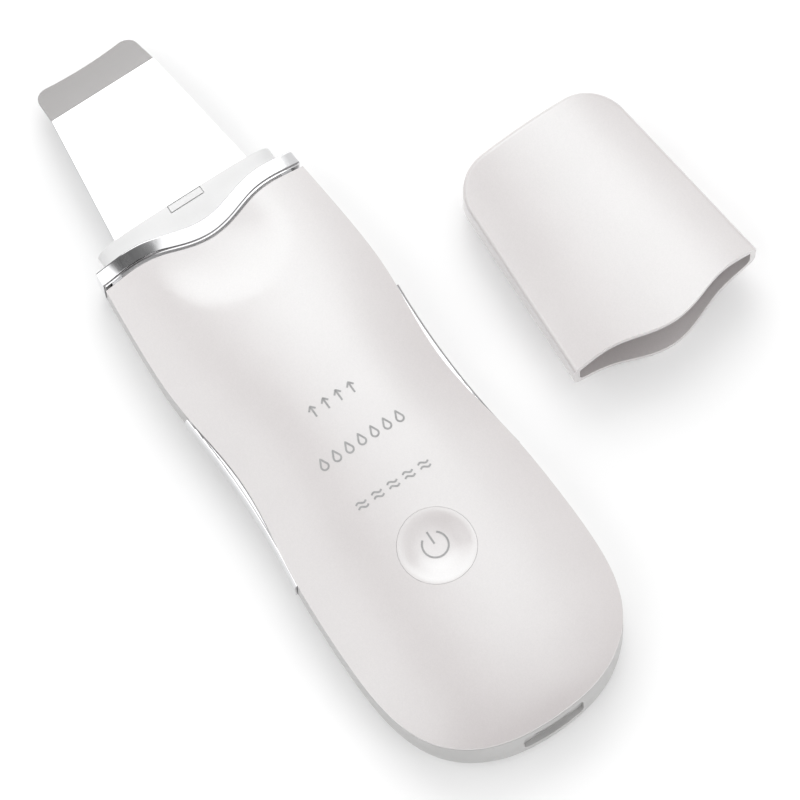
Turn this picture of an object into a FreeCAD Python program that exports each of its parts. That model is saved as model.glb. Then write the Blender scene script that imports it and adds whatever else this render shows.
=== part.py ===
import FreeCAD, Part
import math
import os

# Ultrasonic skin scrubber: a curved handle with a steel blade, and its pull-off cap lying beside it.
# Millimetres. The handle lies on its flat back, front face up: X runs across it, Y along it towards the
# blade, Z up. Shapes are drawn with Y measured from the handle's bottom end; the export moves the origin
# to the middle of the flat back, REST_Y along.

V = FreeCAD.Vector
REST_Y = 62.0

# ---- covers ----
WALL = 1.8
SEAM_Z = 10.6            # parting line between the two covers
SEAM_GAP = 0.2
LIP_INSET = 0.9          # the front cover's lip fills the inner half of the wall at the seam
LIP_DEEP = 1.3
FIT_GAP = 0.12
# half-width of the handle at each distance from the bottom end
OUTLINE = [(1.8, 8.4), (3.2, 13.2), (5.2, 16.7), (8.1, 20.2), (12.0, 22.8), (16.5, 24.5), (23.0, 25.6),
           (31.0, 25.9), (43.0, 25.6), (54.0, 24.7), (63.0, 23.3), (72.0, 22.4), (81.0, 22.8),
           (89.0, 23.7), (96.0, 24.1), (104.0, 23.8), (113.0, 23.1), (122.0, 22.3), (134.0, 20.4),
           (143.0, 12.8)]
OUTLINE_START, OUTLINE_END = 1.1, 148.0
OUTLINE_SAMPLES = 72
# (height, inset) of the wall's guide points, from the flat back over the rounding to above the front
SECTION = [(0, 4.5), (0, 2.4), (1.4, 0.6), (3.5, 0.15), (6.5, 0), (9.6, 0), (13.0, 0), (19.0, 0)]
SECTION_TOP = 9.6
END_ROUND = 0.35         # the back is rounded less at the two ends than along the sides
END_RAKE = 1.1           # the bottom end leans back by this much at the parting line

# ---- front face ----
CREST_Z, EDGE_Z = 16.5, 11.2      # highest line of the front face, and its edge
END_LENGTH, END_TOP_Y = 32.0, 2.0
WAIST_Y, HEAD_Y, HEAD_FALL = 60.0, 124.0, 1.9
WIDTH_Y0, WIDTH_Y1 = 31.0, 122.0  # beyond these the crown keeps its width
SCOOP_Y, SCOOP_DEPTH = 113.0, 1.1
SCOOP_HALF, SCOOP_TOWARDS_KEY, SCOOP_TOWARDS_RING = 13.5, 11.3, 10.5

# ---- wave that the ring, the covers and the cap share ----
WAVE_Y, WAVE_DEPTH, WAVE_HALF = 123.6, 3.4, 16.0
RING_BAND, RING_EDGE = 3.1, 0.3
RING_STEP, RING_STEP_INSET = 0.25, 0.4
RING_GROOVE = 0.75       # dark gap between the ring's step and the covers
RING_TAIL = 4.0          # collar that plugs into the covers

# ---- head base ----
NOSE_Y0, NOSE_Y1 = 110.0, 127.0
NOSE_HALF_ROOT, NOSE_HALF_END = 19.8, 19.6
NOSE_LOW_Z, NOSE_CREST_Z, NOSE_WALL = 2.6, 12.35, 1.5
FLANGE_Y1 = 112.6
CATCH_HALF, CATCH_LONG, CATCH_PROUD = 3.6, 1.3, 0.1
CATCH_GROOVE, CATCH_GROOVE_DEEP, CATCH_FROM_END = 0.2, 0.35, 0.3

# ---- blade and transducer ----
BLADE_Z, BLADE_THICK = 8.0, 0.8
BLADE_HALF_EXIT, BLADE_HALF_BEND, BLADE_HALF_TIP = 15.3, 11.7, 11.1
BLADE_BEND_Y, BLADE_TIP_LONG, BLADE_BEND = 155.3, 9.4, 26.0
BLADE_CORNER, BLADE_HOLLOW = 2.6, 0.9
ROOT_Y, ROOT_HALF, SHOULDER_Y = 98.5, 11.0, 112.0
CLAMP_HALF, CLAMP_Y0, CLAMP_Y1, CLAMP_LOW_Z, CLAMP_TOP_Z = 10.0, 99.0, 109.0, 5.0, 9.3
CLAMP_SCREW_X, CLAMP_SCREW_Y, CLAMP_SCREW_R = 6.5, 104.0, 0.9
PIEZO_R, PIEZO_THICK = 6.0, 2.0
CLAMP_POST_X, CLAMP_POST_R = 8.2, 1.4
SEAL_HALF, SEAL_Y0, SEAL_Y1, SEAL_RISE = 16.6, 124.2, 127.5, 1.3

# ---- power key ----
KEY_Y, KEY_R, KEY_GAP, KEY_TRAVEL = 40.7, 7.6, 0.05, 0.4
KEY_UNDER_Z, KEY_FLANGE_R, KEY_FLANGE = 12.6, 8.6, 0.8
DISH_R, DISH_DEPTH = 7.45, 1.35
KEY_GRID = 1.0
SWITCH_HALF, SWITCH_H = 3.0, 2.3
PLUNGER_R, PLUNGER_REACH = 1.7, 1.6

# ---- side trims ----
TRIM_Y0, TRIM_Y1, TRIM_Z0, TRIM_Z1 = 50.5, 89.5, 5.0, 10.3
TRIM_OUT_LOW, TRIM_OUT_MID, TRIM_OUT_HIGH = 25.5, 23.8, 24.4
TRIM_GAP = 0.18

# ---- board ----
BOARD_Z0, BOARD_Z1 = 8.4, 9.6
BOARD_HALF, TAIL_HALF, BOARD_Y0, TAIL_Y, BOARD_Y1 = 17.0, 8.0, 6.4, 14.0, 94.0
POST_X, POST_YS, POST_R = 14.4, (18.0, 90.0), 2.2
SCREW_R, SCREW_HEAD_R, SCREW_HEAD_H = 0.9, 1.7, 0.9
LIGHT_YS = (55.2, 65.8, 75.4)
CHIP_X, CHIP_Y, CHIP_HALF, CHIP_LEGS = -9.5, 65.0, 4.0, 7
CONTACT_Y, CONTACT_HALF, CONTACT_THICK = 70.0, 1.2, 0.3

LEAD_R = 0.4

# ---- charging port ----
PORT_Z = 6.2
POCKET_HALF, POCKET_HIGH, POCKET_DEEP_Y, POCKET_CORNER = 6.7, 4.8, 2.9, 1.2
PORT_HALF, PORT_HIGH = 4.05, 3.1
SOCKET_HALF, SOCKET_HIGH, SOCKET_Y0, SOCKET_Y1, SOCKET_SHEET = 3.75, 2.8, 3.2, 8.8, 0.3
BOSS_HALF, BOSS_Y0, BOSS_Y1 = 8.4, 1.9, 4.6

# ---- battery ----
CELL_HALF, CELL_Y0, CELL_Y1, CELL_Z0, CELL_Z1, CELL_EDGE = 12.0, 24.0, 60.0, 2.6, 7.4, 1.6
RIB_GAP, RIB_THICK, RIB_HIGH = 0.3, 1.0, 2.6

# ---- cap, in its own frame: origin under the middle of its open end, +Y to the closed end ----
CAP_LONG, CAP_WALL = 46.1, 1.3
CAP_HALF_OPEN, CAP_HALF_CLOSED = 21.4, 17.6
CAP_CREST_OPEN, CAP_CREST_CLOSED, CAP_CROWN = 15.3, 14.0, 3.1
CAP_ARCH = 5.5           # rise of the back from its middle to the sides
CAP_CORNER, CAP_BACK_ROUND, CAP_CREASE = 8.5, 3.2, 1.1
CAP_MIDDLE_X, CAP_OPEN_Y, CAP_TURN = 62.8, 55.9, 1.5


def box(x0, x1, y0, y1, z0, z1):
    return Part.makeBox(x1 - x0, y1 - y0, z1 - z0, V(x0, y0, z0))


def post(x, y, z0, z1, radius):
    return Part.makeCylinder(radius, z1 - z0, V(x, y, z0))


def joined(first, *others):
    return first.multiFuse(list(others)).removeSplitter()


def without(shape, *tools):
    return shape.cut(list(tools))


def rounded_plate(half_x, half_z, corner, y0, y1, z):
    """A block along Y with rounded corners in its X-Z section, centred on x = 0 and height z."""
    plate = box(-half_x, half_x, y0, y1, z - half_z, z + half_z)
    long_edges = [e for e in plate.Edges if abs(e.tangentAt(e.FirstParameter).y) > 0.9]
    return plate.makeFillet(corner, long_edges)


# ---- the handle's outer form ----
def width_curve():
    """The outline's half-width as the x of a curve whose parameter is y."""
    stations = [(y, half) for y, half in OUTLINE if WIDTH_Y0 <= y <= WIDTH_Y1]
    curve = Part.BSplineCurve()
    curve.interpolate(Points=[V(half, y, 0) for y, half in stations], Parameters=[y for y, half in stations])
    return curve


WIDTHS = width_curve()


def crest(y):
    """Height of the front face on the centre line, without the scoop and the rounded end."""
    if y > WAIST_Y:
        return CREST_Z - HEAD_FALL * ((y - WAIST_Y) / (HEAD_Y - WAIST_Y)) ** 2
    return CREST_Z


def bowl(r):
    """A soft-edged hollow: 1 in the middle, 0 from r = 1 on."""
    return (1 - r ** 3) ** 2 if r < 1 else 0.0


def scoop(x, y):
    """Depth of the thumb scoop."""
    reach = SCOOP_TOWARDS_KEY if y < SCOOP_Y else SCOOP_TOWARDS_RING
    return SCOOP_DEPTH * bowl(math.hypot(x / SCOOP_HALF, (y - SCOOP_Y) / reach))


def front_height(x, y):
    across = x / WIDTHS.value(min(max(y, WIDTH_Y0), WIDTH_Y1)).x
    along = max(0.0, (END_LENGTH - y) / (END_LENGTH - END_TOP_Y))
    return crest(y) - (crest(y) - EDGE_Z) * (across ** 2 + along ** 4) - scoop(x, y)


def key_height(x, y):
    return front_height(x, y) - DISH_DEPTH * bowl(math.hypot(x, y - KEY_Y) / DISH_R)


def below(height, drop=0.0, corner=(-32.0, -12.0), step=(3.2, 3.0), count=(21, 57)):
    """Everything under a curved face, lowered by drop; the face is drawn through a grid of heights."""
    heights = [[height(corner[0] + i * step[0], corner[1] + j * step[1]) - drop for j in range(count[1])]
               for i in range(count[0])]
    surface = Part.BSplineSurface()
    surface.interpolate(heights, corner[0], step[0], corner[1], step[1])
    return surface.toShape().extrude(V(0, 0, -40))


def outline_curve():
    """The handle's outline seen from above, starting at the head end."""
    left = [V(-half, y, 0) for y, half in reversed(OUTLINE)]
    right = [V(half, y, 0) for y, half in OUTLINE]
    curve = Part.BSplineCurve()
    curve.interpolate(Points=[V(0, OUTLINE_END, 0)] + left + [V(0, OUTLINE_START, 0)] + right,
                      PeriodicFlag=True)
    return curve


def level(curve, z, shrink, inset):
    """Points of the outline at height z, moved inwards by the back's rounding and by inset."""
    points = []
    start, end = curve.FirstParameter, curve.LastParameter
    for i in range(OUTLINE_SAMPLES):
        u = start + (end - start) * i / OUTLINE_SAMPLES
        along = curve.tangent(u)[0]
        point = curve.value(u)
        inwards = inset + shrink * (END_ROUND + (1 - END_ROUND) * abs(along.y))
        rake = END_RAKE * max(0.0, 1 - point.y / END_LENGTH) ** 1.5 * z / SEAM_Z
        points.append(V(point.x - along.y * inwards, point.y + along.x * inwards + rake, z))
    return points


def wall_surface(levels):
    """A smooth closed wall through a stack of outlines."""
    columns = [list(column) for column in zip(*levels)]
    round_knots = list(range(len(columns) + 1))
    up_knots = list(range(len(levels) - 2))
    up_weights = [4] + [1] * (len(up_knots) - 2) + [4]
    surface = Part.BSplineSurface()
    surface.buildFromPolesMultsKnots(columns, [1] * len(round_knots), up_weights, round_knots, up_knots,
                                     True, False, 3, 3)
    return surface


def handle_form(inset):
    """The handle's outer form, shrunk by inset all round."""
    curve = outline_curve()
    levels = [level(curve, z + inset if z < SECTION_TOP else z, shrink, inset) for z, shrink in SECTION]
    wall = wall_surface(levels)
    low, high = wall.bounds()[2:]
    ends = [Part.Face(Part.Wire([wall.vIso(v).toShape()])) for v in (low, high)]
    solid = Part.Solid(Part.Shell([wall.toShape()] + ends))
    return solid.common(below(front_height, inset))


# ---- the wave ----
def wave(x):
    dip = (1 + math.cos(math.pi * x / WAVE_HALF)) / 2 if abs(x) < WAVE_HALF else 0.0
    return WAVE_Y - WAVE_DEPTH * dip


def beyond_wave(shift):
    """Everything past the wave, moved along Y by shift."""
    points = [V(x, wave(x) + shift, -5) for x in range(-40, 41, 4)]
    curve = Part.BSplineCurve()
    curve.interpolate(points)
    corners = [points[-1], V(40, 200, -5), V(-40, 200, -5), points[0]]
    sides = [Part.makeLine(a, b) for a, b in zip(corners, corners[1:])]
    return Part.Face(Part.Wire([curve.toShape()] + sides)).extrude(V(0, 0, 40))


# ---- side trims ----
def trim_block(side, gap):
    """The strip over the waist before it is cut to the cover, grown by gap."""
    low, high = TRIM_Y0 - gap, TRIM_Y1 + gap
    corners = [V(side * TRIM_OUT_HIGH, high, 0), V(side * 18, high, 0), V(side * 18, low, 0),
               V(side * TRIM_OUT_LOW, low, 0)]
    outer = Part.Arc(corners[-1], V(side * TRIM_OUT_MID, (low + high) / 2, 0), corners[0]).toShape()
    sides = [Part.makeLine(a, b) for a, b in zip(corners, corners[1:])]
    block = Part.Face(Part.Wire([outer] + sides)).extrude(V(0, 0, TRIM_Z1 - TRIM_Z0 + 2 * gap))
    block.translate(V(0, 0, TRIM_Z0 - gap))
    return block


def side_trim(side, core):
    strip = trim_block(side, 0)
    long_edges = [e for e in strip.Edges if "Circle" in str(e.Curve)]
    return without(strip.makeFillet(0.7, long_edges), core)


# ---- covers ----
def front_cover(shell, core, inner):
    top = shell.common(box(-40, 40, -10, 160, SEAM_Z, 40))
    ring = without(core, inner, beyond_wave(-RING_BAND - RING_TAIL - 1))
    ring = ring.common(box(-40, 40, -10, 160, SEAM_Z - LIP_DEEP, SEAM_Z + 0.3))
    lip = without(ring, box(-40, 40, TRIM_Y0 - 2, TRIM_Y1 + 2, 0, 40),
                  box(-BOSS_HALF - 1, BOSS_HALF + 1, -5, BOSS_Y1 + 2, 0, SEAM_Z))
    return without(joined(top, lip), post(0, KEY_Y, 5, 30, KEY_R))


def battery_ribs():
    floor, x, y0, y1 = WALL - 0.6, CELL_HALF + RIB_GAP, CELL_Y0 - RIB_GAP, CELL_Y1 + RIB_GAP
    top = WALL + RIB_HIGH
    ribs = [box(-8, 8, y0 - RIB_THICK, y0, floor, top), box(-8, 8, y1, y1 + RIB_THICK, floor, top)]
    for side in (-1, 1):
        near, far = sorted((side * x, side * (x + RIB_THICK)))
        ribs.append(box(near, far, y0 + 4, y1 - 4, floor, top))
    return ribs


def back_cover(shell, outer, core):
    bowl = shell.common(box(-40, 40, -10, 160, -10, SEAM_Z - SEAM_GAP))
    boss = box(-BOSS_HALF, BOSS_HALF, BOSS_Y0, BOSS_Y1, 1, SEAM_Z - SEAM_GAP).common(outer)
    posts = [post(sx * POST_X, y, WALL - 0.6, BOARD_Z0, POST_R) for sx in (-1, 1) for y in POST_YS]
    posts += [post(sx * CLAMP_POST_X, y, WALL - 0.6, CLAMP_LOW_Z, CLAMP_POST_R)
              for sx in (-1, 1) for y in (CLAMP_Y0 + 2, CLAMP_Y1 - 2)]
    bowl = joined(bowl, boss, *posts, *battery_ribs())
    rebate = handle_form(LIP_INSET - FIT_GAP).common(
        box(-40, 40, -10, 160, SEAM_Z - LIP_DEEP - FIT_GAP, SEAM_Z))
    rebate = without(rebate, box(-40, 40, TRIM_Y0 - 1.5, TRIM_Y1 + 1.5, 0, 40),
                     box(-BOSS_HALF, BOSS_HALF, -5, 5, 0, 40))
    pockets = [without(trim_block(side, TRIM_GAP), core) for side in (-1, 1)]
    notches = [box(min(side * 15, side * 26), max(side * 15, side * 26), CONTACT_Y - CONTACT_HALF - FIT_GAP,
                   CONTACT_Y + CONTACT_HALF + FIT_GAP, BOARD_Z1 - FIT_GAP, SEAM_Z) for side in (-1, 1)]
    pilots = [post(sx * POST_X, y, BOARD_Z0 - 4, BOARD_Z0, SCREW_R) for sx in (-1, 1) for y in POST_YS]
    pocket = rounded_plate(POCKET_HALF, POCKET_HIGH / 2, POCKET_CORNER, -3, POCKET_DEEP_Y, PORT_Z)
    port = rounded_plate(PORT_HALF, PORT_HIGH / 2, 0.9, -3, BOSS_Y1 + 1, PORT_Z)
    return without(bowl, rebate, pocket, port, *pockets, *notches, *pilots)


# ---- head ----
def trim_ring(outer, plug):
    band = without(outer.common(beyond_wave(-RING_BAND)), beyond_wave(0))
    across = [e for e in band.Edges if e.Length > NOSE_HALF_END and e.BoundBox.ZMin > SEAM_Z]
    band = band.makeFillet(RING_EDGE, across)
    step = without(handle_form(RING_STEP_INSET).common(beyond_wave(-RING_BAND - RING_STEP)),
                   beyond_wave(-RING_BAND))
    collar = without(plug.common(beyond_wave(-RING_BAND - RING_TAIL)), beyond_wave(-RING_BAND))
    return without(joined(band, step, collar), nose_block(0))


def nose_wire(y, inset):
    """Section of the head base: arched front, and an underside that rises towards the sides."""
    half = NOSE_HALF_ROOT if y < NOSE_Y1 - 5 else NOSE_HALF_END
    middle = (NOSE_LOW_Z + NOSE_CREST_Z) / 2
    points = []
    for i in range(32):
        a = 2 * math.pi * i / 32
        power = 0.7 if math.sin(a) > 0 else 1.7
        x = (half - inset) * math.copysign(abs(math.cos(a)) ** 0.5, math.cos(a))
        rise = ((NOSE_CREST_Z - NOSE_LOW_Z) / 2 - inset) * abs(math.sin(a)) ** power
        points.append(V(x, y, middle + math.copysign(rise, math.sin(a))))
    curve = Part.BSplineCurve()
    curve.interpolate(Points=points, PeriodicFlag=True)
    return Part.Wire([curve.toShape()])


def nose_block(inset):
    return Part.makeLoft([nose_wire(NOSE_Y0, inset), nose_wire(NOSE_Y1, inset)], True, True)


def catch(half_x, half_y, z0, z1):
    y = NOSE_Y1 - CATCH_FROM_END - CATCH_LONG / 2
    return box(-half_x, half_x, y - half_y, y + half_y, z0, z1)


def head_base(plug):
    under_covers = without(box(-40, 40, NOSE_Y0 - 1, NOSE_Y1, 0, 40), plug,
                           beyond_wave(-RING_BAND - RING_STEP - RING_GROOVE))
    outer = without(nose_block(0), under_covers)
    hollow = nose_block(NOSE_WALL).common(box(-40, 40, NOSE_Y0 - 1, NOSE_Y1 - NOSE_WALL, 0, 40))
    flange = plug.common(box(-40, 40, NOSE_Y0, FLANGE_Y1, 0, 40))
    groove = without(catch(CATCH_HALF + CATCH_GROOVE, CATCH_LONG / 2 + CATCH_GROOVE,
                           NOSE_CREST_Z - CATCH_GROOVE_DEEP, NOSE_CREST_Z + 1),
                     catch(CATCH_HALF, CATCH_LONG / 2, 0, NOSE_CREST_Z + 2))
    raised = catch(CATCH_HALF, CATCH_LONG / 2, NOSE_CREST_Z - 0.8, NOSE_CREST_Z + CATCH_PROUD)
    slot = rounded_plate(SEAL_HALF - 0.6, BLADE_THICK / 2 + SEAL_RISE - 0.5, 0.8, NOSE_Y1 - 4, NOSE_Y1 + 4,
                         BLADE_Z)
    return without(joined(outer, flange, raised), hollow, slot, groove)


def blade_side():
    """The blade seen from the side, extruded over its width; its tip bends towards the back."""
    top = BLADE_Z + BLADE_THICK / 2
    a = math.radians(BLADE_BEND)
    tip = V(0, BLADE_BEND_Y + BLADE_TIP_LONG * math.cos(a), top - BLADE_TIP_LONG * math.sin(a))
    under = V(0, -math.sin(a), -math.cos(a)) * (BLADE_THICK * 0.6)
    bend = V(0, BLADE_BEND_Y, top)
    bend_under = V(0, BLADE_BEND_Y - BLADE_THICK * math.tan(a / 2), top - BLADE_THICK)
    loop = [V(0, ROOT_Y, top), bend, tip, tip + under, bend_under, V(0, ROOT_Y, top - BLADE_THICK)]
    profile = Part.Face(Part.makePolygon(loop + loop[:1]))
    profile.translate(V(-25, 0, 0))
    solid = profile.extrude(V(50, 0, 0))
    fold = [e for e in solid.Edges if e.Length > 49 and abs(e.CenterOfMass.y - BLADE_BEND_Y) < 0.5]
    return solid.makeFillet(1.2, fold)


def blade():
    tip_y = BLADE_BEND_Y + BLADE_TIP_LONG * math.cos(math.radians(BLADE_BEND))
    right = [V(ROOT_HALF, ROOT_Y, 0), V(ROOT_HALF, SHOULDER_Y - 3, 0),
             V(BLADE_HALF_EXIT + 0.3, SHOULDER_Y, 0), V(BLADE_HALF_EXIT, NOSE_Y1, 0),
             V(BLADE_HALF_BEND, BLADE_BEND_Y, 0), V(BLADE_HALF_TIP, tip_y, 0)]
    left = [V(-p.x, p.y, 0) for p in reversed(right)]
    tip = Part.Arc(right[-1], V(0, tip_y - BLADE_HOLLOW, 0), left[0]).toShape()
    lines = [Part.makeLine(a, b) for a, b in zip(right, right[1:])] + [tip]
    lines += [Part.makeLine(a, b) for a, b in zip(left, left[1:] + right[:1])]
    plan = Part.Face(Part.Wire(lines)).extrude(V(0, 0, 30))
    corners = [e for e in plan.Edges if abs(e.tangentAt(e.FirstParameter).z) > 0.9
               and e.CenterOfMass.y > tip_y - 1]
    plan = plan.makeFillet(BLADE_CORNER, corners)
    bores = [post(sx * CLAMP_SCREW_X, CLAMP_SCREW_Y, 5, 15, CLAMP_SCREW_R + 0.1) for sx in (-1, 1)]
    return without(blade_side().common(plan), *bores)


def blade_seal():
    half_z = BLADE_THICK / 2 + SEAL_RISE
    neck = rounded_plate(SEAL_HALF - 0.6, half_z - 0.5, 0.8, SEAL_Y0, SEAL_Y1, BLADE_Z)
    inside = rounded_plate(SEAL_HALF, half_z, 0.8, SEAL_Y0, NOSE_Y1 - NOSE_WALL, BLADE_Z)
    slit = box(-BLADE_HALF_EXIT - 0.15, BLADE_HALF_EXIT + 0.15, SEAL_Y0 - 1, SEAL_Y1 + 1,
               BLADE_Z - BLADE_THICK / 2, BLADE_Z + BLADE_THICK / 2)
    return without(joined(neck, inside), slit)


def clamp_screw(side):
    shank = post(side * CLAMP_SCREW_X, CLAMP_SCREW_Y, CLAMP_LOW_Z + 0.3, CLAMP_TOP_Z + 0.1, CLAMP_SCREW_R)
    head = post(side * CLAMP_SCREW_X, CLAMP_SCREW_Y, CLAMP_TOP_Z, CLAMP_TOP_Z + 0.8, 1.6)
    recess = post(side * CLAMP_SCREW_X, CLAMP_SCREW_Y, CLAMP_TOP_Z + 0.4, CLAMP_TOP_Z + 2, 0.7)
    return without(joined(shank, head), recess)


def clamp_half(z0, z1):
    bores = [post(sx * CLAMP_SCREW_X, CLAMP_SCREW_Y, CLAMP_LOW_Z + 0.3, z1 + 1, CLAMP_SCREW_R)
             for sx in (-1, 1)]
    return without(box(-CLAMP_HALF, CLAMP_HALF, CLAMP_Y0, CLAMP_Y1, z0, z1), *bores)


# ---- power key ----
def power_key():
    face = below(key_height, corner=(-KEY_R - KEY_GRID, KEY_Y - KEY_R - KEY_GRID), step=(KEY_GRID, KEY_GRID),
                 count=(18, 18))
    body = post(0, KEY_Y, KEY_UNDER_Z, 30, KEY_R - KEY_GAP).common(face)
    flange = post(0, KEY_Y, KEY_UNDER_Z, KEY_UNDER_Z + KEY_FLANGE, KEY_FLANGE_R)
    hollow = without(post(0, KEY_Y, KEY_UNDER_Z - 1, KEY_UNDER_Z + 1.2, KEY_R - 1.3),
                     post(0, KEY_Y, KEY_UNDER_Z - 1, KEY_UNDER_Z + 2, PLUNGER_R + 0.8))
    return without(joined(body, flange), hollow)


def switch_body():
    block = box(-SWITCH_HALF, SWITCH_HALF, KEY_Y - SWITCH_HALF, KEY_Y + SWITCH_HALF, BOARD_Z1,
                BOARD_Z1 + SWITCH_H)
    well = post(0, KEY_Y, KEY_UNDER_Z - PLUNGER_REACH - KEY_TRAVEL - 0.1, 30, PLUNGER_R + 0.15)
    return without(block, well)


# ---- board and what it carries ----
def main_board():
    plate = joined(box(-BOARD_HALF, BOARD_HALF, TAIL_Y, BOARD_Y1, BOARD_Z0, BOARD_Z1),
                   box(-TAIL_HALF, TAIL_HALF, BOARD_Y0, TAIL_Y, BOARD_Z0, BOARD_Z1))
    holes = [post(sx * POST_X, y, 0, 20, SCREW_R + 0.1) for sx in (-1, 1) for y in POST_YS]
    return without(plate, *holes)


def board_screw(x, y):
    head = post(x, y, BOARD_Z1, BOARD_Z1 + SCREW_HEAD_H, SCREW_HEAD_R)
    shank = post(x, y, BOARD_Z0 - 3.5, BOARD_Z1, SCREW_R)
    recess = post(x, y, BOARD_Z1 + 0.4, BOARD_Z1 + 2, 0.7)
    return without(joined(head, shank), recess)


def chip():
    body = box(CHIP_X - CHIP_HALF, CHIP_X + CHIP_HALF, CHIP_Y - CHIP_HALF, CHIP_Y + CHIP_HALF,
               BOARD_Z1 + 0.2, BOARD_Z1 + 1.4)
    legs = []
    for i in range(CHIP_LEGS):
        y = CHIP_Y + i - (CHIP_LEGS - 1) / 2
        legs.append(box(CHIP_X - CHIP_HALF - 1, CHIP_X + CHIP_HALF + 1, y - 0.2, y + 0.2,
                        BOARD_Z1, BOARD_Z1 + 0.4))
    return joined(body, *legs)


def transformer():
    core = box(-6.5, 6.5, 79, 90, BOARD_Z1, BOARD_Z1 + 1.2)
    core = joined(core, box(-6.5, -4.5, 79, 90, BOARD_Z1, BOARD_Z1 + 3.4),
                  box(4.5, 6.5, 79, 90, BOARD_Z1, BOARD_Z1 + 3.4),
                  box(-1.5, 1.5, 81, 88, BOARD_Z1, BOARD_Z1 + 3.4))
    return core


def transformer_winding():
    outside = box(-4.3, 4.3, 79.8, 89.2, BOARD_Z1 + 1.2, BOARD_Z1 + 3.2)
    return without(outside, box(-1.5, 1.5, 81, 88, BOARD_Z1, BOARD_Z1 + 4))


def small_parts():
    """Resistors and capacitors in two rows beside the chip."""
    parts = []
    for side in (-1, 1):
        for i in range(5):
            x, y = side * 10.5, 26 + 8 * i
            parts.append(box(x - 1, x + 1, y - 0.6, y + 0.6, BOARD_Z1, BOARD_Z1 + 0.7))
    return Part.makeCompound(parts)


def mode_lights():
    return Part.makeCompound([box(-0.8, 0.8, y - 0.8, y + 0.8, BOARD_Z1, BOARD_Z1 + 0.8)
                              for y in LIGHT_YS])


def rounded_path(points):
    """Straight runs joined by tangent arcs."""
    pieces, start = [], points[0]
    for before, corner, after in zip(points, points[1:], points[2:]):
        arm = 0.45 * min((corner - before).Length, (after - corner).Length)
        enter = corner + (before - corner).normalize() * arm
        leave = corner + (after - corner).normalize() * arm
        half_turn = (corner - before).getAngle(after - corner) / 2
        radius = arm / math.tan(half_turn)
        inward = ((enter + leave) * 0.5 - corner).normalize()
        middle = corner + inward * (radius / math.cos(half_turn) - radius)
        pieces += [Part.makeLine(start, enter), Part.Arc(enter, middle, leave).toShape()]
        start = leave
    return Part.Wire(pieces + [Part.makeLine(start, points[-1])])


def wire(points):
    path = rounded_path(points)
    loop = Part.Wire([Part.makeCircle(LEAD_R, points[0], points[1] - points[0])])
    return path.makePipeShell([loop], True, False)


def lead_pair(half_gap, points, *ends):
    """Two wires side by side through (y, z) points, cut off where they meet what they are soldered to."""
    wires = [wire([V(side * half_gap, y, z) for y, z in points]) for side in (-1, 1)]
    return without(Part.makeCompound(wires), *ends)


def transducer_leads(board, disc):
    points = [(91.5, BOARD_Z0 + 0.1), (91.8, 6.6), (94.5, 4.4), (97.5, 2.7), (101, 2.7)]
    return lead_pair(2.0, points, board, disc)


def battery_leads(board, cell):
    points = [(CELL_Y1 - 0.1, 6.2), (62.5, 6.3), (65, 6.9), (66, BOARD_Z0 + 0.1)]
    return lead_pair(3.0, points, board, cell)


def battery_cell():
    cell = box(-CELL_HALF, CELL_HALF, CELL_Y0, CELL_Y1, CELL_Z0, CELL_Z1)
    long_edges = [e for e in cell.Edges if abs(e.tangentAt(e.FirstParameter).y) > 0.9]
    return cell.makeFillet(CELL_EDGE, long_edges)


def charge_socket():
    shell = rounded_plate(SOCKET_HALF, SOCKET_HIGH / 2, 0.8, SOCKET_Y0, SOCKET_Y1, PORT_Z)
    mouth = rounded_plate(SOCKET_HALF - SOCKET_SHEET, SOCKET_HIGH / 2 - SOCKET_SHEET, 0.6, SOCKET_Y0 - 1,
                          SOCKET_Y1 - 0.6, PORT_Z)
    foot = box(-SOCKET_HALF + 0.6, SOCKET_HALF - 0.6, BOARD_Y0 + 0.4, SOCKET_Y1,
               PORT_Z + SOCKET_HIGH / 2 - 0.2, BOARD_Z0)
    return without(joined(shell, foot), mouth)


def socket_tongue():
    return box(-1.9, 1.9, SOCKET_Y0 + 0.6, SOCKET_Y1 - 0.6, PORT_Z - 0.3, PORT_Z + 0.3)


def trim_contact(side, trim):
    near, far = sorted((side * 14.5, side * 22.6))
    strip = box(near, far, CONTACT_Y - CONTACT_HALF, CONTACT_Y + CONTACT_HALF, BOARD_Z1,
                BOARD_Z1 + CONTACT_THICK)
    return without(strip, trim)


# ---- cap ----
def cap_half(y, inset):
    return CAP_HALF_OPEN + (CAP_HALF_CLOSED - CAP_HALF_OPEN) * y / CAP_LONG - inset


def cap_wire(y, inset):
    """Section of the cap: arched back, rounded lower corners, upright sides and a slightly crowned front."""
    half = cap_half(y, inset)
    top = CAP_CREST_OPEN + (CAP_CREST_CLOSED - CAP_CREST_OPEN) * y / CAP_LONG - inset
    round_r = CAP_BACK_ROUND - inset / 2
    slope = 2 * math.atan(CAP_ARCH / CAP_HALF_OPEN)
    turn = (slope + math.pi / 2) / 2
    corner_x = half - round_r * (1 - math.sin(slope))
    corner_z = inset + CAP_ARCH * (corner_x / CAP_HALF_OPEN) ** 2
    centre_z = corner_z + round_r * math.cos(slope)
    on_corner_x = half - round_r + round_r * math.sin(turn)
    on_corner_z = centre_z - round_r * math.cos(turn)
    side = []
    for s in (-1, 1):
        side.append([V(s * corner_x, y, corner_z), V(s * on_corner_x, y, on_corner_z),
                     V(s * half, y, centre_z), V(s * half, y, top - CAP_CROWN)])
    left, right = side
    edges = [Part.Arc(left[0], V(0, y, inset), right[0]), Part.Arc(*right[:3]),
             Part.LineSegment(right[2], right[3]), Part.Arc(right[3], V(0, y, top), left[3]),
             Part.LineSegment(left[3], left[2]), Part.Arc(left[2], left[1], left[0])]
    return Part.Wire([e.toShape() for e in edges])


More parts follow.
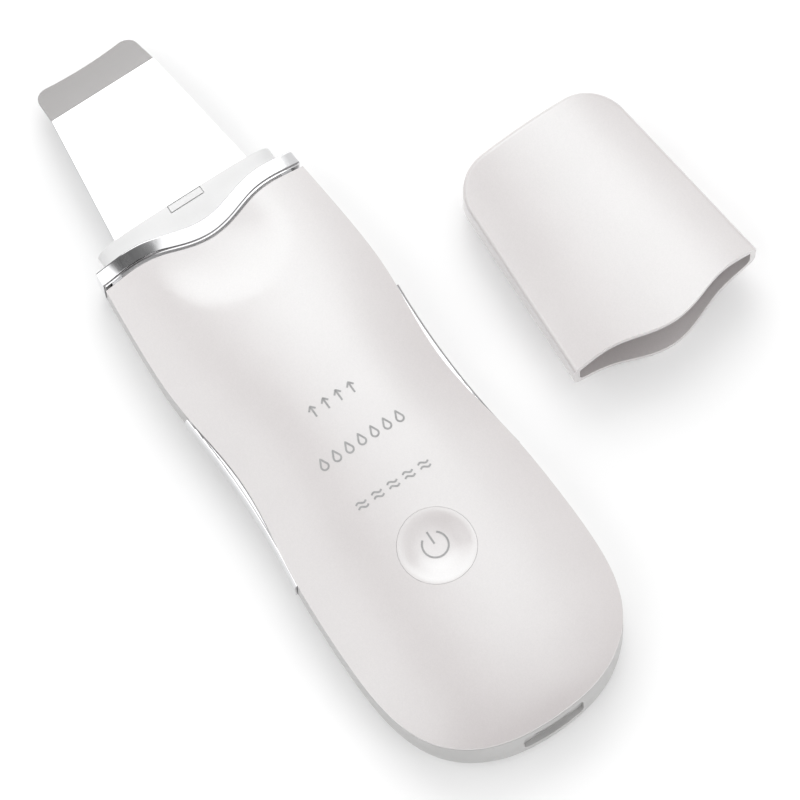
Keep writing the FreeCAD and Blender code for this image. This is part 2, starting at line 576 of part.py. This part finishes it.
def cap_form(inset):
    """The cap's outer form in its own frame, shrunk by inset, running on past the open end."""
    back, front = -8.0, CAP_LONG - inset
    loop = [V(-cap_half(back, inset), back, -1), V(cap_half(back, inset), back, -1),
            V(cap_half(front, inset), front, -1), V(-cap_half(front, inset), front, -1)]
    plan = Part.Face(Part.makePolygon(loop + loop[:1])).extrude(V(0, 0, 30))
    corners = [e for e in plan.Edges if abs(e.tangentAt(e.FirstParameter).z) > 0.9
               and e.CenterOfMass.y > 0]
    plan = plan.makeFillet(CAP_CORNER - inset, corners)
    return Part.makeLoft([cap_wire(back, inset), cap_wire(CAP_LONG + 4, inset)], True, True).common(plan)


def cap():
    form = cap_form(0)
    crease = [e for e in form.Edges if e.BoundBox.ZMin > 8 and e.CenterOfMass.y > -7]
    form = form.makeFillet(CAP_CREASE, crease)
    past_wave = beyond_wave(0)
    past_wave.translate(V(0, -WAVE_Y, 0))
    body = without(form.common(past_wave), cap_form(CAP_WALL))
    body.rotate(V(0, 0, 0), V(0, 0, 1), CAP_TURN)
    body.translate(V(CAP_MIDDLE_X, CAP_OPEN_Y, 0))
    return body


def all_nodes():
    outer, inner, core = handle_form(0), handle_form(WALL), handle_form(LIP_INSET)
    shell = without(outer, inner, beyond_wave(-RING_BAND - RING_STEP - RING_GROOVE))
    plug = handle_form(WALL + FIT_GAP)
    trims = {side: side_trim(side, core) for side in (-1, 1)}
    screws = [board_screw(sx * POST_X, y) for sx in (-1, 1) for y in POST_YS]
    blade_under, blade_over = BLADE_Z - BLADE_THICK / 2, BLADE_Z + BLADE_THICK / 2
    disc = post(0, CLAMP_SCREW_Y, CLAMP_LOW_Z - PIEZO_THICK, CLAMP_LOW_Z, PIEZO_R)
    board, cell = main_board(), battery_cell()
    return {
        "front_cover": front_cover(shell, core, inner),
        "back_cover": back_cover(shell, outer, core),
        "trim_ring": trim_ring(outer, plug),
        "left_side_trim": trims[-1],
        "right_side_trim": trims[1],
        "head_base": head_base(plug),
        "blade": blade(),
        "blade_seal": blade_seal(),
        "transducer_block": clamp_half(CLAMP_LOW_Z, blade_under),
        "clamp_plate": clamp_half(blade_over, CLAMP_TOP_Z),
        "clamp_screws": Part.makeCompound([clamp_screw(side) for side in (-1, 1)]),
        "piezo_disc": disc,
        "power_key": power_key(),
        "switch_plunger": post(0, KEY_Y, KEY_UNDER_Z - PLUNGER_REACH, KEY_UNDER_Z, PLUNGER_R),
        "switch_body": switch_body(),
        "main_board": board,
        "board_screws": Part.makeCompound(screws),
        "controller_chip": chip(),
        "transformer_core": transformer(),
        "transformer_winding": transformer_winding(),
        "small_board_parts": small_parts(),
        "mode_lights": mode_lights(),
        "left_trim_contact": trim_contact(-1, trims[-1]),
        "right_trim_contact": trim_contact(1, trims[1]),
        "transducer_leads": transducer_leads(board, disc),
        "battery_leads": battery_leads(board, cell),
        "battery_cell": cell,
        "battery_pad": box(-CELL_HALF + 2, CELL_HALF - 2, CELL_Y0 + 2, CELL_Y1 - 2, WALL, CELL_Z0),
        "charge_socket": charge_socket(),
        "socket_tongue": socket_tongue(),
        "cap": cap(),
    }


def export_all():
    os.makedirs("parts", exist_ok=True)
    for name, shape in all_nodes().items():
        placed = shape.copy()
        placed.translate(V(0, -REST_Y, 0))
        placed.exportStep("parts/" + name + ".step")


export_all()
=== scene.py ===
"""Looks of the ultrasonic skin scrubber: materials, printed marks, floor, light and camera. Metres."""
import math

import bmesh
import bpy
from mathutils import Matrix, Vector
from mathutils.bvhtree import BVHTree


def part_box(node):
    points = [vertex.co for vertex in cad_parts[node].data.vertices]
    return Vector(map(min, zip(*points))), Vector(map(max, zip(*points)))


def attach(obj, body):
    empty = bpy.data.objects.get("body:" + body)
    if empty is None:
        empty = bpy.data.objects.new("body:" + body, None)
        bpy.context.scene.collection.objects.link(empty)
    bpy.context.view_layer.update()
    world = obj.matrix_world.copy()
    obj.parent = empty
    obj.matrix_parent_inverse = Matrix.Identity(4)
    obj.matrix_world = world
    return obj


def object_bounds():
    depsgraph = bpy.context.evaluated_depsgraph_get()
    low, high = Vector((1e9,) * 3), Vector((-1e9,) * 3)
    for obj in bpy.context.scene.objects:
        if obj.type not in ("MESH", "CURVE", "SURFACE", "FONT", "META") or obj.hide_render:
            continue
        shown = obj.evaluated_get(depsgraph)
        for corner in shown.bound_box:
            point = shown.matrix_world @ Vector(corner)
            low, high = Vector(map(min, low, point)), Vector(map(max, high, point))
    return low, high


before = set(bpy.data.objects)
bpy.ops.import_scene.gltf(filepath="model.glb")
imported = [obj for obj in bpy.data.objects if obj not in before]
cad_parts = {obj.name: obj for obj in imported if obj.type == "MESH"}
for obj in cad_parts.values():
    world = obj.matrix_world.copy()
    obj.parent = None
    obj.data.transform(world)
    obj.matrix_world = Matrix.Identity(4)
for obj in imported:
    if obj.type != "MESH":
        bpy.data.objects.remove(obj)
cad_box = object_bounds()
MM = 0.001

# ---- printed marks ----
PRINT_THICK = 0.05 * MM
PRINT_SINK = 0.03 * MM
STROKE = 0.36 * MM
STEP = 0.18 * MM
MARK_HEIGHT = 2.4 * MM
# (name, centre along the handle, width of the row, number of pictograms in it)
MARK_ROWS = [("arrow_marks", 13.6 * MM, 8.6 * MM, 4), ("drop_marks", 4.0 * MM, 17.0 * MM, 7),
             ("wave_marks", -6.6 * MM, 14.0 * MM, 5)]
ICON_RADIUS = 2.5 * MM
ICON_OPEN = math.radians(38)
ICON_SHIFT = 0.6 * MM

# ---- blade: length of the ground tip seen from above, coloured darker as painted shade, and how softly the grinding and that painted shade start ----
BLADE_GROUND_AND_SHADE, GROUND_AND_SHADE_EDGE = 8.1 * MM, 0.6 * MM

# ---- pearl paint: ground colours, tint of the flakes' shine, flakes to the metre, coats ----
PEARL_DARK, PEARL_LIGHT = (0.605, 0.562, 0.560), (0.655, 0.612, 0.610)
FLAKE_SHINE = (0.80, 1.0, 1.0, 1.0)
FLAKE_DENSITY = 5200.0
COVER_COAT, KEY_COAT = 0.8, 1.0

# ---- camera ----
CAMERA_BACK = Vector((-0.170, -0.275, 0.946))
CAMERA_UP = Vector((0.535, 0.780, 0.323))
CAMERA_TARGET = Vector((11.5, 8.1, 10.0)) * MM
VIEW_WIDTH = 151.2 * MM
LENS_MM, SENSOR_MM = 250.0, 36.0

# ---- sky: brightness against the direction's x, y and z ----
SKY = {"X": [(-0.90, 0.90), (-0.36, 0.90), (-0.33, 0.07), (-0.20, 0.10), (0.02, 0.72), (0.25, 1.0),
             (0.42, 0.95), (0.62, 0.46), (0.90, 0.34)],
       "Y": [(-0.95, 0.10), (-0.72, 0.15), (-0.50, 0.60), (-0.25, 0.68), (0.05, 0.90), (0.30, 1.0),
             (0.70, 1.0), (0.915, 0.74), (0.97, 0.15)],
       "Z": [(0.0, 0.50), (0.30, 0.55), (0.60, 0.95), (0.95, 1.0)]}
SKY_STRENGTH = 1.98
FLOOR_GLOW = 0.22
FLOOR_SIZE = 6.0
BACKDROP = (0.47, 0.47, 0.47, 1)

# ---- softboxes: (name, direction, size in metres, watts, whether the chrome mirrors it) ----
LAMP_DISTANCE = 1.0
LAMPS = [("key_softbox", (0.25, 0.70, 0.67), (1.0, 0.8), 3.6, True),
         ("front_fill", (0.25, -0.90, 0.34), (0.8, 0.4), 3.2, False)]


# ---- node helpers ----
def new_material(name):
    """A material with an empty Principled shader, its node tree and the shader."""
    material = bpy.data.materials.new(name)
    material.use_nodes = True
    tree = material.node_tree
    return material, tree, tree.nodes["Principled BSDF"]


def set_inputs(node, **values):
    for key, value in values.items():
        node.inputs[key.replace("_", " ")].default_value = value


def position(tree, scale=(1, 1, 1)):
    """Place on the object in metres, times scale."""
    coordinates = tree.nodes.new("ShaderNodeTexCoord")
    mapping = tree.nodes.new("ShaderNodeMapping")
    mapping.inputs["Scale"].default_value = scale
    tree.links.new(coordinates.outputs["Object"], mapping.inputs["Vector"])
    return mapping.outputs["Vector"]


def noise(tree, place, scale, detail=2.0, rough=0.5):
    texture = tree.nodes.new("ShaderNodeTexNoise")
    set_inputs(texture, Scale=scale, Detail=detail, Roughness=rough)
    tree.links.new(place, texture.inputs["Vector"])
    return texture.outputs["Fac"]


def cells(tree, place, scale):
    """A random value for each small cell, as flakes have."""
    texture = tree.nodes.new("ShaderNodeTexVoronoi")
    set_inputs(texture, Scale=scale)
    tree.links.new(place, texture.inputs["Vector"])
    return texture.outputs["Color"]


def spread(tree, value, low, high, from_low=0.3, from_high=0.7):
    """Maps a noise value to the range low..high."""
    node = tree.nodes.new("ShaderNodeMapRange")
    set_inputs(node, From_Min=from_low, From_Max=from_high, To_Min=low, To_Max=high)
    tree.links.new(value, node.inputs["Value"])
    return node.outputs["Result"]


def blend_colours(tree, value, first, second):
    """Blend of two plain colours by value."""
    node = tree.nodes.new("ShaderNodeMix")
    node.data_type = "RGBA"
    node.inputs["A"].default_value = (*first, 1)
    node.inputs["B"].default_value = (*second, 1)
    tree.links.new(value, node.inputs["Factor"])
    return node.outputs["Result"]


def mixed(tree, value, first, second):
    """Blend of two textures by value."""
    node = tree.nodes.new("ShaderNodeMix")
    node.data_type = "RGBA"
    tree.links.new(value, node.inputs["Factor"])
    tree.links.new(first, node.inputs["A"])
    tree.links.new(second, node.inputs["B"])
    return node.outputs["Result"]


def flatness(tree):
    """1 on faces that look up or down, 0 on upright ones."""
    coordinates = tree.nodes.new("ShaderNodeTexCoord")
    split = tree.nodes.new("ShaderNodeSeparateXYZ")
    tree.links.new(coordinates.outputs["Normal"], split.inputs["Vector"])
    size = tree.nodes.new("ShaderNodeMath")
    size.operation = "ABSOLUTE"
    tree.links.new(split.outputs["Z"], size.inputs[0])
    return spread(tree, size.outputs[0], 0, 1, 0.5, 0.7)


def bump(tree, shader, height, strength, distance):
    node = tree.nodes.new("ShaderNodeBump")
    set_inputs(node, Strength=strength, Distance=distance)
    tree.links.new(height, node.inputs["Height"])
    tree.links.new(node.outputs["Normal"], shader.inputs["Normal"])


# ---- materials ----
def pearl_paint(name, coat):
    """White pearl paint: a warm base colour whose flakes shine cooler, under a thin clear coat."""
    material, tree, shader = new_material(name)
    place = position(tree)
    soft = noise(tree, place, 45.0, 3.0)
    flakes = cells(tree, place, FLAKE_DENSITY)
    tone = tree.nodes.new("ShaderNodeMath")
    tone.operation = "MULTIPLY_ADD"
    tree.links.new(flakes, tone.inputs[0])
    tone.inputs[1].default_value = 0.45
    tree.links.new(soft, tone.inputs[2])
    tree.links.new(blend_colours(tree, spread(tree, tone.outputs[0], 0, 1, 0.35, 1.0), PEARL_DARK,
                                 PEARL_LIGHT), shader.inputs["Base Color"])
    tree.links.new(spread(tree, flakes, 0.30, 0.44, 0.0, 1.0), shader.inputs["Roughness"])
    set_inputs(shader, Specular_IOR_Level=1.0, Specular_Tint=FLAKE_SHINE, Coat_Weight=coat,
               Coat_Roughness=0.22, Coat_IOR=1.6)
    bump(tree, shader, noise(tree, place, 900.0, 2.0), 0.10, 0.00004)
    return material


def moulded_plastic(name, dark, light, rough=0.5, grain=1600.0, relief=0.18):
    """Moulded plastic with a fine eroded grain and slightly uneven colour."""
    material, tree, shader = new_material(name)
    place = position(tree)
    tree.links.new(blend_colours(tree, spread(tree, noise(tree, place, 70.0, 4.0), 0, 1), dark, light),
                   shader.inputs["Base Color"])
    tree.links.new(spread(tree, noise(tree, place, 400.0, 3.0), rough - 0.06, rough + 0.06),
                   shader.inputs["Roughness"])
    set_inputs(shader, IOR=1.48)
    bump(tree, shader, noise(tree, place, grain, 2.0), relief, 0.00003)
    return material


def plated_metal(name, dark, light, rough, stretch=(1, 1, 1), scale=700.0, relief=0.04):
    """Plated or polished metal with faint wipe marks along one direction."""
    material, tree, shader = new_material(name)
    place = position(tree, stretch)
    marks = noise(tree, place, scale, 4.0, 0.6)
    tree.links.new(blend_colours(tree, spread(tree, marks, 0, 1), dark, light), shader.inputs["Base Color"])
    tree.links.new(spread(tree, marks, rough * 0.7, rough * 1.4), shader.inputs["Roughness"])
    set_inputs(shader, Metallic=1.0)
    bump(tree, shader, marks, relief, 0.00001)
    return material


def blade_steel():
    """Polished spring steel; the bent tip is ground, so rougher, and its colour is painted darker as painted
    shade; the upright sheared rim is dull and coloured near-black as painted shade.
    """
    material, tree, shader = new_material("blade_steel")
    marks = noise(tree, position(tree, (1, 0.04, 1)), 1500.0, 4.0, 0.6)
    split = tree.nodes.new("ShaderNodeSeparateXYZ")
    tree.links.new(position(tree), split.inputs["Vector"])
    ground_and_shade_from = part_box("blade")[1].y - BLADE_GROUND_AND_SHADE
    ground_and_shaded_tip = spread(tree, split.outputs["Y"], 0, 1, ground_and_shade_from, ground_and_shade_from + GROUND_AND_SHADE_EDGE)
    polish = blend_colours(tree, spread(tree, marks, 0, 1), (0.80, 0.80, 0.81), (0.88, 0.88, 0.89))
    # painted shade: the bent tip is coloured darker than the polished face; its higher roughness is the
    # grinding
    painted_tip_shade = blend_colours(tree, spread(tree, marks, 0, 1), (0.66, 0.645, 0.64), (0.70, 0.685, 0.68))
    faces = mixed(tree, ground_and_shaded_tip, polish, painted_tip_shade)
    # painted shade: the upright rim is coloured near-black so that it draws a dark edge line
    painted_rim_shade = blend_colours(tree, marks, (0.05, 0.05, 0.05), (0.09, 0.09, 0.09))
    flat = flatness(tree)
    tree.links.new(mixed(tree, flat, painted_rim_shade, faces), shader.inputs["Base Color"])
    tree.links.new(flat, shader.inputs["Metallic"])
    tree.links.new(spread(tree, ground_and_shaded_tip, 0.10, 0.20, 0, 1), shader.inputs["Roughness"])
    bump(tree, shader, marks, 0.02, 0.00001)
    return material


def print_ink():
    material, tree, shader = new_material("print_ink")
    place = position(tree)
    tree.links.new(blend_colours(tree, spread(tree, noise(tree, place, 1500.0), 0, 1), (0.30, 0.30, 0.30),
                                 (0.37, 0.37, 0.37)), shader.inputs["Base Color"])
    tree.links.new(spread(tree, noise(tree, place, 900.0), 0.45, 0.6), shader.inputs["Roughness"])
    return material


def floor_paper():
    """White paper on a light table, so that shadows on it stay pale."""
    material, tree, shader = new_material("floor_paper")
    place = position(tree)
    tree.links.new(blend_colours(tree, spread(tree, noise(tree, place, 12.0, 3.0), 0, 1), (0.72, 0.72, 0.72),
                                 (0.74, 0.74, 0.74)), shader.inputs["Base Color"])
    set_inputs(shader, Roughness=0.9, Specular_IOR_Level=0.2, Emission_Color=(1, 1, 1, 1),
               Emission_Strength=FLOOR_GLOW)
    return material


pearl = pearl_paint("pearl_paint", COVER_COAT)
key_pearl = pearl_paint("key_pearl_paint", KEY_COAT)
chrome = plated_metal("ring_chrome", (0.72, 0.72, 0.73), (0.80, 0.80, 0.81), 0.07, (1, 0.2, 1))
trim_chrome = plated_metal("trim_chrome", (0.70, 0.70, 0.71), (0.80, 0.80, 0.81), 0.09, (1, 0.05, 1))
black_plastic = moulded_plastic("black_plastic", (0.02, 0.02, 0.02), (0.035, 0.035, 0.037), 0.55)
zinc = plated_metal("zinc_screws", (0.45, 0.45, 0.47), (0.60, 0.60, 0.62), 0.3)
MATERIALS = {
    "front_cover": pearl,
    "cap": pearl,
    "power_key": key_pearl,
    "back_cover": moulded_plastic("back_plastic", (0.48, 0.475, 0.47), (0.53, 0.525, 0.52), 0.42),
    "head_base": moulded_plastic("head_plastic", (0.70, 0.70, 0.70), (0.76, 0.76, 0.76), 0.40),
    "trim_ring": chrome,
    "left_side_trim": trim_chrome,
    "right_side_trim": trim_chrome,
    "blade": blade_steel(),
    "blade_seal": moulded_plastic("seal_silicone", (0.50, 0.50, 0.51), (0.58, 0.58, 0.59), 0.65),
    "transducer_block": plated_metal("machined_aluminium", (0.62, 0.62, 0.64), (0.74, 0.74, 0.76), 0.28),
    "clamp_plate": plated_metal("stamped_aluminium", (0.60, 0.60, 0.62), (0.70, 0.70, 0.72), 0.32),
    "clamp_screws": zinc,
    "board_screws": zinc,
    "piezo_disc": moulded_plastic("piezo_ceramic", (0.55, 0.50, 0.40), (0.66, 0.62, 0.52), 0.45),
    "switch_plunger": moulded_plastic("plunger_plastic", (0.55, 0.55, 0.52), (0.66, 0.66, 0.62), 0.5),
    "switch_body": black_plastic,
    "socket_tongue": black_plastic,
    "controller_chip": black_plastic,
    "main_board": moulded_plastic("solder_mask", (0.02, 0.14, 0.06), (0.03, 0.20, 0.09), 0.35),
    "transformer_core": moulded_plastic("ferrite", (0.05, 0.05, 0.05), (0.09, 0.09, 0.09), 0.6),
    "small_board_parts": moulded_plastic("small_parts", (0.10, 0.08, 0.06), (0.25, 0.20, 0.14), 0.5),
    "transformer_winding": plated_metal("copper_wire", (0.55, 0.24, 0.12), (0.72, 0.35, 0.20), 0.3,
                                        (1, 8, 1)),
    "mode_lights": moulded_plastic("light_lens", (0.70, 0.72, 0.62), (0.82, 0.84, 0.76), 0.2),
    "left_trim_contact": plated_metal("contact_brass", (0.65, 0.50, 0.20), (0.80, 0.66, 0.32), 0.25),
    "right_trim_contact": plated_metal("contact_brass", (0.65, 0.50, 0.20), (0.80, 0.66, 0.32), 0.25),
    "transducer_leads": moulded_plastic("red_insulation", (0.35, 0.03, 0.02), (0.48, 0.05, 0.04), 0.5),
    "battery_leads": moulded_plastic("red_insulation", (0.35, 0.03, 0.02), (0.48, 0.05, 0.04), 0.5),
    "battery_cell": plated_metal("cell_pouch", (0.60, 0.61, 0.63), (0.72, 0.73, 0.75), 0.4, scale=120.0),
    "battery_pad": moulded_plastic("pad_foam", (0.04, 0.04, 0.04), (0.08, 0.08, 0.08), 0.9, 900.0, 0.6),
    "charge_socket": plated_metal("socket_tin", (0.50, 0.50, 0.52), (0.66, 0.66, 0.68), 0.25),
}


def dress_cad_nodes():
    for name, material in MATERIALS.items():
        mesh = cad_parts[name].data
        mesh.materials.clear()
        mesh.materials.append(material)


# ---- printed marks ----
def surface_of(node):
    """A function that gives the point of a CAD node's upper side above or below (x, y)."""
    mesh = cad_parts[node].data
    tree = BVHTree.FromPolygons([v.co for v in mesh.vertices], [p.vertices for p in mesh.polygons])

    def point(x, y):
        return tree.ray_cast(Vector((x, y, 1)), Vector((0, 0, -1)))[0]
    return point


def resample(path, closed):
    """Points STEP apart along straight runs between the path's points."""
    corners = path + path[:1] if closed else path
    points = []
    for a, b in zip(corners, corners[1:]):
        count = max(1, round((b - a).length / STEP))
        points += [a.lerp(b, i / count) for i in range(count)]
    return points if closed else points + [corners[-1]]


def add_stroke(mesh, point, path, closed=False):
    """A thin raised line of ink that follows the surface under a flat path."""
    points = resample([Vector(p) for p in path], closed)
    count = len(points)
    rings = []
    for i, place in enumerate(points):
        before = points[i - 1] if closed or i else place
        after = points[(i + 1) % count] if closed or i < count - 1 else place
        along = (after - before).normalized()
        side = Vector((-along.y, along.x)) * STROKE / 2
        ring = []
        for sign, lift in ((1, -PRINT_SINK), (1, PRINT_THICK), (-1, PRINT_THICK), (-1, -PRINT_SINK)):
            spot = point(place.x + sign * side.x, place.y + sign * side.y)
            ring.append(mesh.verts.new(spot + Vector((0, 0, lift))))
        rings.append(ring)
    pairs = list(zip(rings, rings[1:])) + ([(rings[-1], rings[0])] if closed else [])
    for a, b in pairs:
        for i in range(4):
            j = (i + 1) % 4
            mesh.faces.new((a[i], a[j], b[j], b[i]))
    if not closed:
        mesh.faces.new(rings[0][::-1])
        mesh.faces.new(rings[-1])


def finish_print(name, mesh, body):
    bmesh.ops.recalc_face_normals(mesh, faces=mesh.faces)
    data = bpy.data.meshes.new(name)
    mesh.to_mesh(data)
    mesh.free()
    piece = bpy.data.objects.new(name, data)
    bpy.context.scene.collection.objects.link(piece)
    data.materials.append(ink)
    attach(piece, body)


def circle(x, y, radius, start, end, count=40):
    angles = [start + (end - start) * i / (count - 1) for i in range(count)]
    return [(x + radius * math.cos(a), y + radius * math.sin(a)) for a in angles]


def arrow(x, y, height):
    half = height / 2
    return [[(x, y - half), (x, y + half)],
            [(x - half * 0.62, y + half * 0.3), (x, y + half), (x + half * 0.62, y + half * 0.3)]]


def drop(x, y, height):
    radius = height * 0.3
    bottom = y - height / 2 + radius
    return [circle(x, bottom, radius, math.radians(150), math.radians(390), 22) + [(x, y + height / 2)]]


def ripple(x, y, height):
    width = height * 0.9
    rows = []
    for shift in (-0.28, 0.12):
        wave = [(i / 16, shift + 0.11 * math.sin(2 * math.pi * i / 16)) for i in range(17)]
        rows.append([(x + width * (along - 0.5), y + height * up) for along, up in wave])
    return rows


def print_mode_marks():
    point = surface_of("front_cover")
    for (name, y, width, count), shape in zip(MARK_ROWS, (arrow, drop, ripple)):
        mesh = bmesh.new()
        for i in range(count):
            x = width * (i / (count - 1) - 0.5)
            for path in shape(x, y, MARK_HEIGHT):
                add_stroke(mesh, point, path, closed=shape is drop)
        finish_print(name, mesh, "handle")


def print_power_mark():
    low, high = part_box("power_key")
    x, y = (low.x + high.x) / 2, (low.y + high.y) / 2 + ICON_SHIFT
    point = surface_of("power_key")
    mesh = bmesh.new()
    top = math.pi / 2
    add_stroke(mesh, point, circle(x, y, ICON_RADIUS, top + ICON_OPEN, top + 2 * math.pi - ICON_OPEN, 60))
    add_stroke(mesh, point, [(x, y + ICON_RADIUS * 0.1), (x, y + ICON_RADIUS * 1.15)])
    finish_print("power_mark", mesh, "power_button")


# ---- stage, light and camera ----
def lay_floor():
    bpy.ops.mesh.primitive_plane_add(size=FLOOR_SIZE, location=(0, 0, cad_box[0].z))
    floor = bpy.context.object
    floor.name = "floor"
    floor.data.materials.append(floor_paper())


def ramp(tree, value, stops):
    """Brightness along one axis of the sky, through (place from -1 to 1, level) stops."""
    place = tree.nodes.new("ShaderNodeMapRange")
    set_inputs(place, From_Min=-1, From_Max=1)
    tree.links.new(value, place.inputs["Value"])
    node = tree.nodes.new("ShaderNodeValToRGB")
    node.color_ramp.interpolation = "EASE"
    elements = node.color_ramp.elements
    while len(elements) < len(stops):
        elements.new(0.5)
    for element, (at, level) in zip(elements, stops):
        element.position = (at + 1) / 2
        element.color = (level, level, level, 1)
    tree.links.new(place.outputs["Result"], node.inputs["Fac"])
    return node.outputs["Color"]


def multiply(tree, first, second):
    node = tree.nodes.new("ShaderNodeVectorMath")
    node.operation = "MULTIPLY"
    tree.links.new(first, node.inputs[0])
    tree.links.new(second, node.inputs[1])
    return node.outputs["Vector"]


def light_world():
    """A pale tent with dark flags on its left and low at both ends; the camera sees a plain backdrop."""
    world = bpy.data.worlds.new("studio")
    bpy.context.scene.world = world
    world.use_nodes = True
    tree = world.node_tree
    coordinates = tree.nodes.new("ShaderNodeTexCoord")
    split = tree.nodes.new("ShaderNodeSeparateXYZ")
    tree.links.new(coordinates.outputs["Generated"], split.inputs["Vector"])
    across, along, up = (ramp(tree, split.outputs[axis], SKY[axis]) for axis in "XYZ")
    tent = multiply(tree, multiply(tree, across, along), up)
    seen = tree.nodes.new("ShaderNodeMix")
    seen.data_type = "RGBA"
    tree.links.new(tree.nodes.new("ShaderNodeLightPath").outputs["Is Camera Ray"], seen.inputs["Factor"])
    tree.links.new(tent, seen.inputs["A"])
    seen.inputs["B"].default_value = BACKDROP
    tree.links.new(seen.outputs["Result"], tree.nodes["Background"].inputs["Color"])
    tree.nodes["Background"].inputs["Strength"].default_value = SKY_STRENGTH


def area_light(name, direction, size, power, mirrored):
    """A softbox aimed at the origin; one that is not mirrored leaves no reflection."""
    data = bpy.data.lights.new(name, "AREA")
    data.shape = "RECTANGLE"
    data.size, data.size_y = size
    data.energy = power
    lamp = bpy.data.objects.new(name, data)
    back = Vector(direction).normalized()
    lamp.location = back * LAMP_DISTANCE
    lamp.rotation_mode = "QUATERNION"
    lamp.rotation_quaternion = (-back).to_track_quat("-Z", "Y")
    lamp.visible_glossy = mirrored
    bpy.context.scene.collection.objects.link(lamp)


def place_camera():
    data = bpy.data.cameras.new("camera")
    data.lens, data.sensor_width = LENS_MM, SENSOR_MM
    data.clip_start, data.clip_end = 0.01, 20.0
    camera = bpy.data.objects.new("camera", data)
    back = CAMERA_BACK.normalized()
    right = CAMERA_UP.cross(back).normalized()
    up = back.cross(right)
    turn = Matrix((right, up, back)).transposed()
    camera.matrix_world = Matrix.Translation(CAMERA_TARGET + back * VIEW_WIDTH * LENS_MM / SENSOR_MM) \
        @ turn.to_4x4()
    bpy.context.scene.collection.objects.link(camera)
    bpy.context.scene.camera = camera


ink = print_ink()
dress_cad_nodes()
print_mode_marks()
print_power_mark()
lay_floor()
light_world()
for lamp in LAMPS:
    area_light(*lamp)
place_camera()
bpy.context.scene.view_settings.view_transform = "Standard"
